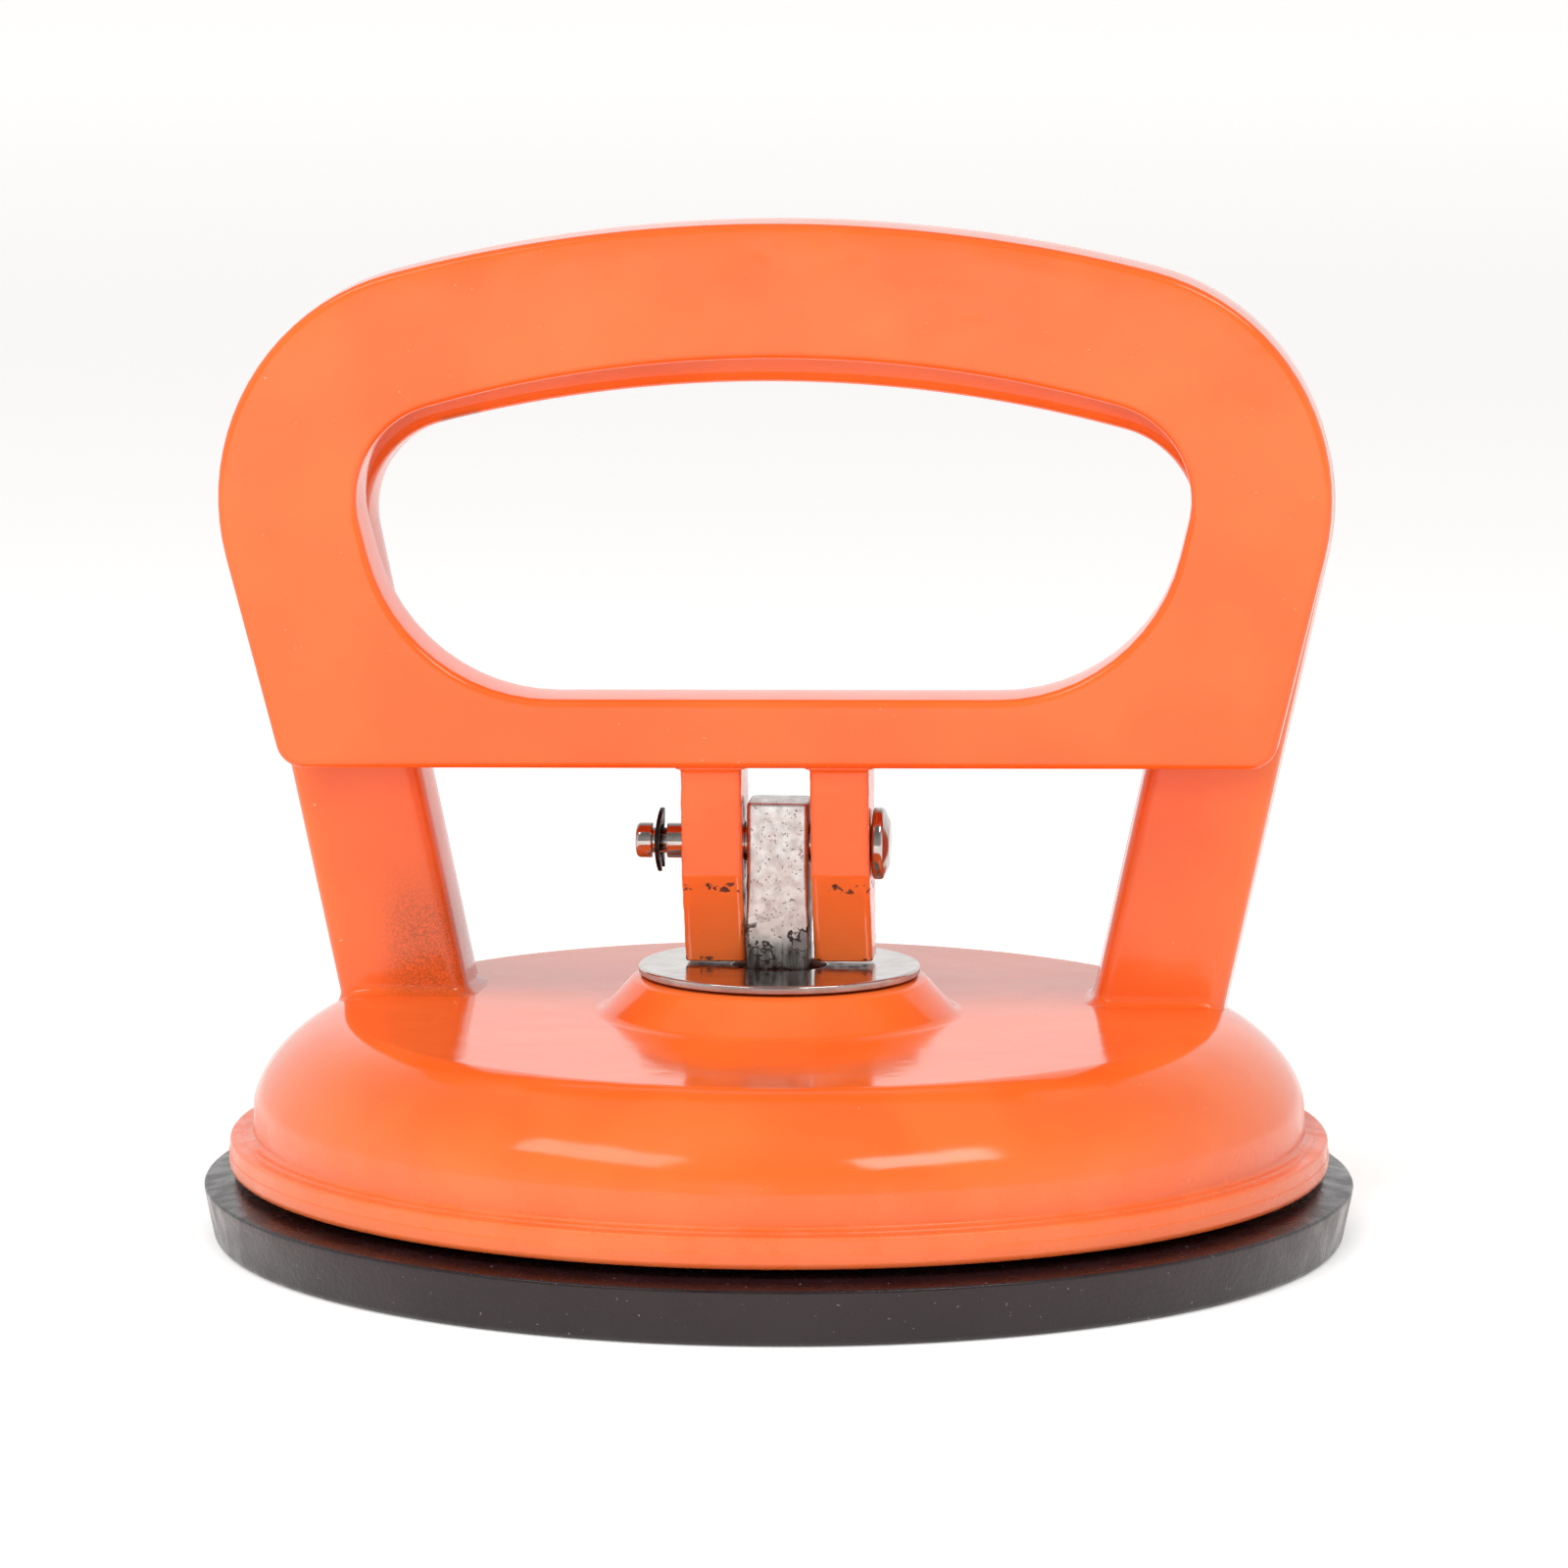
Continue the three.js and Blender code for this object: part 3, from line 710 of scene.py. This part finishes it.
def barRing(outer, inner, front, back, radius, draft, steps=5, across=6):
    # the cross-section of a flat bar between a point of its outer and one of its inner outline
    (ox, oz), (onx, onz) = outer
    (ix, iz), (inx, inz) = inner
    middle = (front + back) / 2
    ring = []
    quarter = [math.pi / 2 * k / steps for k in range(steps + 1)]

    def spot(x, z, nx, nz, inset, y):
        ring.append((x - nx * inset, y, z - nz * inset))

    def corner(place, normal, angles, edge, sign):
        # one rounded corner: drawn in by the draft and its radius, and away from a face's edge
        for a in angles:
            spot(*place, *normal, draft + radius * (1 - math.sin(a)),
                 edge + sign * radius * (1 - math.cos(a)))

    corner((ox, oz), (onx, onz), quarter, front, 1)
    spot(ox, oz, onx, onz, 0, middle)
    corner((ox, oz), (onx, onz), quarter[::-1], back, -1)
    outerBack = len(ring)
    corner((ix, iz), (inx, inz), quarter, back, -1)
    spot(ix, iz, inx, inz, 0, middle)
    corner((ix, iz), (inx, inz), quarter[::-1], front, 1)
    # more points across the wide front and back, so that no face is long and thin
    shares = [k / across for k in range(1, across)]
    backFace = [lerp(ring[outerBack - 1], ring[outerBack], t) for t in shares]
    frontFace = [lerp(ring[-1], ring[0], t) for t in shares]
    return ring[:outerBack] + backFace + ring[outerBack:] + frontFace


def lerp(start, end, t):
    # the point a share of the way along
    return tuple(a + (b - a) * t for a, b in zip(start, end))


def sideAt(corner, lean, z):
    # where the leaning side line, a tangent of the corner arc, stands at a height
    side = math.radians(lean)
    x = corner["x"] + corner["radius"] * math.cos(side)
    return x - (corner["z"] - corner["radius"] * math.sin(side) - z) * math.tan(side)


def makeGrip():
    g = gripSize
    side = math.radians(g["lean"])
    reach = g["leg"] / math.cos(side)
    inner = {"x": g["shoulder"]["x"], "z": g["holeZ"], "radius": g["holeCorner"]}
    inner["x"] += (sideAt(g["shoulder"], g["lean"], g["holeZ"]) - reach
                   - sideAt(inner, g["lean"], g["holeZ"]))
    outerArch = archPoints(g["top"], g["shoulder"], g["lean"])
    # the inner outline's normals point into the hole, away from the metal
    innerArch = [(p, (-n[0], -n[1])) for p, n in archPoints(g["holeTop"], inner, g["lean"])]
    out, into = (math.cos(side), -math.sin(side)), (-math.cos(side), math.sin(side))
    rings = []
    footZ = dishSize["flatTop"] + g["fillet"] + g["footRise"]
    legSteps = 22
    topZ, inZ = outerArch[0][0][1], innerArch[0][0][1]
    for i in range(legSteps):
        t = i / legSteps
        zo = footZ + (topZ - footZ) * t
        zi = footZ + (inZ - footZ) * t
        rings.append(barRing(((sideAt(g["shoulder"], g["lean"], zo), zo), out),
                             ((sideAt(g["shoulder"], g["lean"], zi) - reach, zi), into),
                             g["front"], g["back"], g["round"], g["draft"]))
    foot = flaredFoot(rings[0], math.tan(side))
    for outerSpot, innerSpot in zip(outerArch, innerArch):
        rings.append(barRing(outerSpot, innerSpot,
                             g["front"], g["back"], g["round"], g["draft"]))
    legRings = foot + rings[:legSteps]
    left = [[(-x, y, z) for x, y, z in ring] for ring in reversed(legRings)]
    grip = loft("grip", foot + rings + left)
    grip.data.transform(Matrix.Translation((g["offset"] * mm, 0, 0)))
    return grip


def flaredFoot(ring, slope):
    # rings below a leg: it spreads in a round fillet and runs into the dish's curved top
    g = gripSize
    centreX = sum(p[0] for p in ring) / len(ring)
    centreY = (g["front"] + g["back"]) / 2
    halfX = (max(p[0] for p in ring) - min(p[0] for p in ring)) / 2
    halfY = (g["back"] - g["front"]) / 2
    steps = 9
    made = []
    for i in range(steps + 1):
        a = math.pi / 2 * i / steps
        lift = g["fillet"] * (1 - math.sin(a))
        spread = g["fillet"] * (1 - math.cos(a))
        lower = []
        for x, y, z in ring:
            # direction outwards in plan, squarish like the leg
            dx, dy = (x - centreX) / halfX, (y - centreY) / halfY
            size = max((abs(dx) ** 6 + abs(dy) ** 6) ** (1 / 6), 1e-6)
            ux, uy = dx / size, dy / size
            nx = x + spread * (abs(ux) ** 3) * math.copysign(1, ux)
            ny = y + spread * (abs(uy) ** 3) * math.copysign(1, uy)
            surface = dishTopAt(math.hypot(nx, ny))
            newZ = surface + lift
            nx -= (z - newZ) * slope
            lower.append((nx, ny, newZ - (g["overrun"] if i == steps else 0.0)))
        made.append(lower)
    sunk = [(x, y, z - g["embed"]) for x, y, z in made[-1]]
    made.append(sunk)
    return list(reversed(made))


def makeBodyCasting():
    body = makeDish()
    bore = dishSize["bore"]
    hole = loft("bore", [[(x * bore / 2, y * bore / 2, z)
                          for x, y in ((-1, -1), (1, -1), (1, 1), (-1, 1))]
                         for z in (dishSize["guideBottom"] - 2, dishSize["bossTop"] + 2)])
    cutOrJoin(body, hole, "DIFFERENCE")
    cutOrJoin(body, makeGrip(), "UNION")
    tidyEdges(body, 40)
    return settle(body, "base", "body_casting",
                  makeEnamel("orange enamel on the cast body", *enamel["body"], bodyWearAndSheen))


leverSize = {
    "shoulder": {"x": 32.6, "z": 76.0, "radius": 24.0},
    "top": 104.17, "bottom": 48.6, "front": -6.0, "back": 3.0, "lean": 14, "corner": 3.0,
    "round": 0.8, "draft": 0.12, "crooked": -0.7,
    "holeTop": 90.3, "holeBottom": 55.9, "holeX": 32.4, "holeZ": 76.0, "upper": 9.8, "lower": 19.0,
}
lugSize = {
    "left": (-9.7, -3.5), "right": (3.5, 9.5), "front": -5.0, "back": 4.2, "kinkZ": 37.6,
    "toeZ": 28.35, "toeY": -1.4, "heelY": -0.6, "bottom": 28.1, "corner": 0.7, "fillet": 0.45,
    "sole": 0.3, "roughness": 0.06, "skinSeed": 5,
}
pinSize = {
    "height": 40.4, "radius": 1.8, "bore": 2.1, "capEnd": -14.7, "grooveLeft": -13.0,
    "grooveRight": -11.5, "groove": 1.3, "headLeft": 9.6, "headRight": 11.4, "head": 3.7,
}


def closedOutline(top, bottom, corner, lean, lower, bottomSteps=16, sideSteps=12, lowerSteps=12):
    # a whole D: arch, left side, left lower corner, bottom, right lower corner, right side
    side = math.radians(lean)
    lowerZ = bottom + lower
    lowerX = sideAt(corner, lean, lowerZ) - lower / math.cos(side)
    made = archPoints(top, corner, lean)
    leftCorner = arcPoints(-lowerX, lowerZ, lower, math.pi + side, 1.5 * math.pi, lowerSteps)
    rightCorner = arcPoints(lowerX, lowerZ, lower, -math.pi / 2, -side, lowerSteps)
    made += linePoints(made[-1][0], leftCorner[0][0], leftCorner[0][1], sideSteps)
    made += leftCorner
    made += linePoints(leftCorner[-1][0], rightCorner[0][0], (0, -1), bottomSteps)
    made += rightCorner
    made += linePoints(rightCorner[-1][0], made[0][0], rightCorner[-1][1], sideSteps)
    return made


def makeLug(span):
    # one cam lug: flat rounded sections from inside the bar down to the toe and heel
    s = lugSize
    x0, x1 = span
    under = leverSize["bottom"]
    # closer sections where the lug leaves the bar, at its kink and at its toe
    heights = [under - drop for drop in (-1.4, -0.6, 0, 0.12, 0.25, 0.4, 0.6, 1.0, 1.5, 2.0)]
    heights += [under - 2.6 - 0.5 * i for i in range(16)]
    heights += [s["kinkZ"] - drop for drop in (-0.4, -0.2, 0, 0.2, 0.4)]
    heights += [s["kinkZ"] - 1.0 - 0.5 * i for i in range(16)]
    heights += [s["toeZ"] + rise for rise in (0.35, 0.15, 0)]
    heights += [s["bottom"] + rise for rise in (0.1, 0.05, 0)]
    rings = []
    for z in heights:
        front, back = s["front"], s["back"]
        if z > under - 1.1:
            back = s["back"] - (z - under + 1.1) * 0.75
        if z < s["kinkZ"]:
            t = (s["kinkZ"] - z) / (s["kinkZ"] - s["toeZ"])
            front = s["front"] + (s["toeY"] - s["front"]) * min(t, 1)
        if z < s["toeZ"]:
            t = (s["toeZ"] - z) / (s["toeZ"] - s["bottom"])
            front = s["toeY"] + (s["heelY"] - s["toeY"]) * t * t
            back = s["back"] - 0.8 * t * t
        above = max(0.0, min(z, under) - (under - s["fillet"]))
        flare = s["fillet"] - math.sqrt(max(s["fillet"] ** 2 - above ** 2, 0))
        inset = 0.0
        if z < s["bottom"] + s["sole"]:
            t = (s["bottom"] + s["sole"] - z) / s["sole"]
            inset = s["sole"] * (1 - math.sqrt(max(1 - t * t, 0)))
        left, right = x0 - flare + inset, x1 + flare - inset
        front -= min(flare, 0.5)
        corner = s["corner"]
        ring = roundedCorners([(left, front, corner), (right, front, corner),
                               (right, back, corner), (left, back, corner)], steps=4)
        dense = []
        for k, spot in enumerate(ring):
            after = ring[(k + 1) % len(ring)]
            dense.append(spot)
            gap = math.hypot(after[0] - spot[0], after[1] - spot[1])
            if gap > 2:
                dense += [(spot[0] + (after[0] - spot[0]) * f / 6,
                           spot[1] + (after[1] - spot[1]) * f / 6) for f in range(1, 6)]
        rings.append([roughSpot(x, y, z, x0 + x1) for x, y in dense])
    return loft("lug", rings)


def roughSpot(x, y, z, seed):
    # the sand-cast skin: a shallow wander of the surface
    if z > leverSize["bottom"] - 0.1:
        return (x, y, z)
    wander = noise.noise_vector(Vector((x * 0.8 + seed, y * 0.8, z * 0.8)))
    fine = noise.noise_vector(Vector((x * 2.3, y * 2.3 + seed, z * 2.3)))
    amount = lugSize["roughness"]
    return (x + amount * (wander.x + fine.x * 0.6), y + amount * (wander.y + fine.y * 0.6), z)


def makeLever():
    s = leverSize
    hole = {"x": s["holeX"], "z": s["holeZ"], "radius": s["upper"]}
    outer = closedOutline(s["top"], s["bottom"], s["shoulder"], s["lean"], s["corner"])
    inner = closedOutline(s["holeTop"], s["holeBottom"], hole, s["lean"], s["lower"])
    rings = [barRing(o, (p, (-n[0], -n[1])), s["front"], s["back"], s["round"], s["draft"])
             for o, (p, n) in zip(outer, inner)]
    lever = loft("leverHandle", rings, closed=True)
    # without a seed the vector noise starts from the clock, and each run casts another skin
    noise.seed_set(lugSize["skinSeed"])
    for span in (lugSize["left"], lugSize["right"]):
        cutOrJoin(lever, makeLug(span), "UNION")
    # the slack pin lets it hang a little crooked
    hinge = Vector((0, 0, pinSize["height"] * mm))
    crooked = Matrix.Rotation(math.radians(s["crooked"]), 4, "Y")
    lever.data.transform(Matrix.Translation(hinge) @ crooked @ Matrix.Translation(-hinge))
    bore = turn("bore", [(0.0, -20), (pinSize["bore"], -20), (pinSize["bore"], 20), (0.0, 20)],
                segments=48, axis="X", at=(0, 0, pinSize["height"]))
    cutOrJoin(lever, bore, "DIFFERENCE")
    tidyEdges(lever, 40)
    # the lever's enamel is a slightly deeper copy of the body's, a painted shade on its faces
    return settle(lever, "lever", "lever_handle",
                  makeEnamel("orange enamel on the cast lever", *enamel["lever"], leverWearAndPaintedLight))


washerSize = {"radius": 14.4, "hole": 4.9, "bottom": 27.0, "top": 27.8}
stemSize = {
    "width": 6.3, "edge": 0.55, "top": 44.8, "shoulder": 11.2, "tenon": 2.5,
    "head": 4.0, "headTop": 9.0, "headBottom": 8.0,
}
clipSize = {
    "x": -12.2, "thickness": 0.42, "outer": 3.35, "band": 2.45, "seat": 1.6, "bow": 0.28,
    "gap": 26, "midProng": 0.3, "endProng": 0.34, "bevel": 0.05,
}


def makeWasher():
    w = washerSize
    profile = roundedCorners([
        (w["hole"], w["bottom"], 0.08), (w["radius"], w["bottom"], 0.12),
        (w["radius"], w["top"], 0.28), (w["hole"], w["top"], 0.15)], steps=4)
    washer = turn("camWasher", profile, segments=192, closed=True)
    tidyEdges(washer, 60)
    return settle(washer, "base", "cam_washer",
                  makeBrightSteel("bright plated washer steel", sheared=w["top"] - 0.2))


def makeStem():
    s = stemSize
    half = s["width"] / 2
    rings = []
    for inset, z in ((0.35, s["shoulder"]), (0.1, s["shoulder"] + 0.1), (0, s["shoulder"] + 0.35),
                     (0, 26), (0, s["top"] - 0.35), (0.06, s["top"] - 0.14),
                     (0.16, s["top"] - 0.04), (0.32, s["top"])):
        w = half - inset
        rings.append([(x, y, z) for x, y in roundedCorners(
            [(-w, -w, s["edge"]), (w, -w, s["edge"]), (w, w, s["edge"]), (-w, w, s["edge"])],
            steps=5)])
    stem = loft("liftStem", rings)
    foot = turn("rivet", roundedCorners([
        (0.0, s["headBottom"], 0), (s["head"], s["headBottom"], 0.4), (s["head"], s["headTop"], 0.1),
        (s["tenon"], s["headTop"], 0.1), (s["tenon"], s["shoulder"] + 0.5, 0),
        (0.0, s["shoulder"] + 0.5, 0)], steps=4, closed=False), segments=64)
    cutOrJoin(stem, foot, "UNION")
    bore = turn("bore", [(0.0, -9), (pinSize["bore"], -9), (pinSize["bore"], 9), (0.0, 9)],
                segments=48, axis="X", at=(0, 0, pinSize["height"]))
    cutOrJoin(stem, bore, "DIFFERENCE")
    tidyEdges(stem, 40)
    return settle(stem, "stem", "lift_stem",
                  makeZinc("zinc plated square bar", greasyDarkFoot=True))


def makePin():
    p = pinSize
    profile = roundedCorners([
        (0.0, p["capEnd"], 0), (p["radius"], p["capEnd"], 0.5),
        (p["radius"], p["grooveLeft"], 0.12), (p["groove"], p["grooveLeft"], 0.06),
        (p["groove"], p["grooveRight"], 0.06), (p["radius"], p["grooveRight"], 0.12),
        (p["radius"], p["headLeft"], 0.1), (p["head"], p["headLeft"], 0.35),
        (p["head"], p["headRight"] - 0.75, 0.5), (p["head"] - 1.5, p["headRight"], 1.1),
        (0.0, p["headRight"], 0)], steps=5, closed=False)
    pin = turn("pivotPin", profile, segments=72, axis="X", at=(0, 0, p["height"]))
    tidyEdges(pin, 50)
    return settle(pin, "stem", "pivot_pin",
                  makeBrightSteel("bright plated pin steel"))


def makeClip():
    # an E clip: a C band with three short prongs, slightly bowed so that it grips the groove
    c = clipSize
    gap = math.radians(c["gap"])
    outline = []
    sweep = 2 * math.pi - 2 * gap
    outerSteps = 56
    for k in range(outerSteps + 1):
        a = -math.pi / 2 + gap + sweep * k / outerSteps
        outline.append((c["outer"] * math.cos(a), c["outer"] * math.sin(a)))
    for k in range(outerSteps + 1):
        a = 1.5 * math.pi - gap - sweep * k / outerSteps
        fromTop = abs(a - math.pi / 2)
        atProng = fromTop < c["midProng"] or fromTop > sweep / 2 - c["endProng"]
        reach = c["seat"] if atProng else c["band"]
        outline.append((reach * math.cos(a), reach * math.sin(a)))
    vertices, faces = [], []
    count = len(outline)
    for side in (-0.5, 0.5):
        for y, z in outline:
            bend = c["bow"] * ((z / c["outer"]) ** 2)
            x = c["x"] + side * c["thickness"] + bend - c["bow"] / 2
            vertices.append((x, y, z + pinSize["height"]))
    for side in (0, 1):
        base = side * count
        for k in range(outerSteps):
            faces.append((base + k, base + k + 1, base + count - 2 - k, base + count - 1 - k))
    for k in range(count):
        n = (k + 1) % count
        faces.append((k, n, count + n, count + k))
    clip = makePiece("retainingClip", vertices, faces)
    bevel = clip.modifiers.new("edges", "BEVEL")
    bevel.width = c["bevel"] * mm
    bevel.segments = 2
    bevel.angle_limit = math.radians(50)
    applied(clip)
    tidyEdges(clip, 40)
    return settle(clip, "stem", "retaining_clip", makeBlackSteel())


def finishAnchorPlate():
    # the plate keeps its own shape; only its finish is set
    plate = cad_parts["anchor_plate"]
    plate.data.materials.clear()
    plate.data.materials.append(makeZinc("zinc plated anchor steel"))


makeStudio()
print("studio ready")
makeRubberPad()
makeBodyCasting()
makeLever()
makeWasher()
makeStem()
makePin()
makeClip()
finishAnchorPlate()
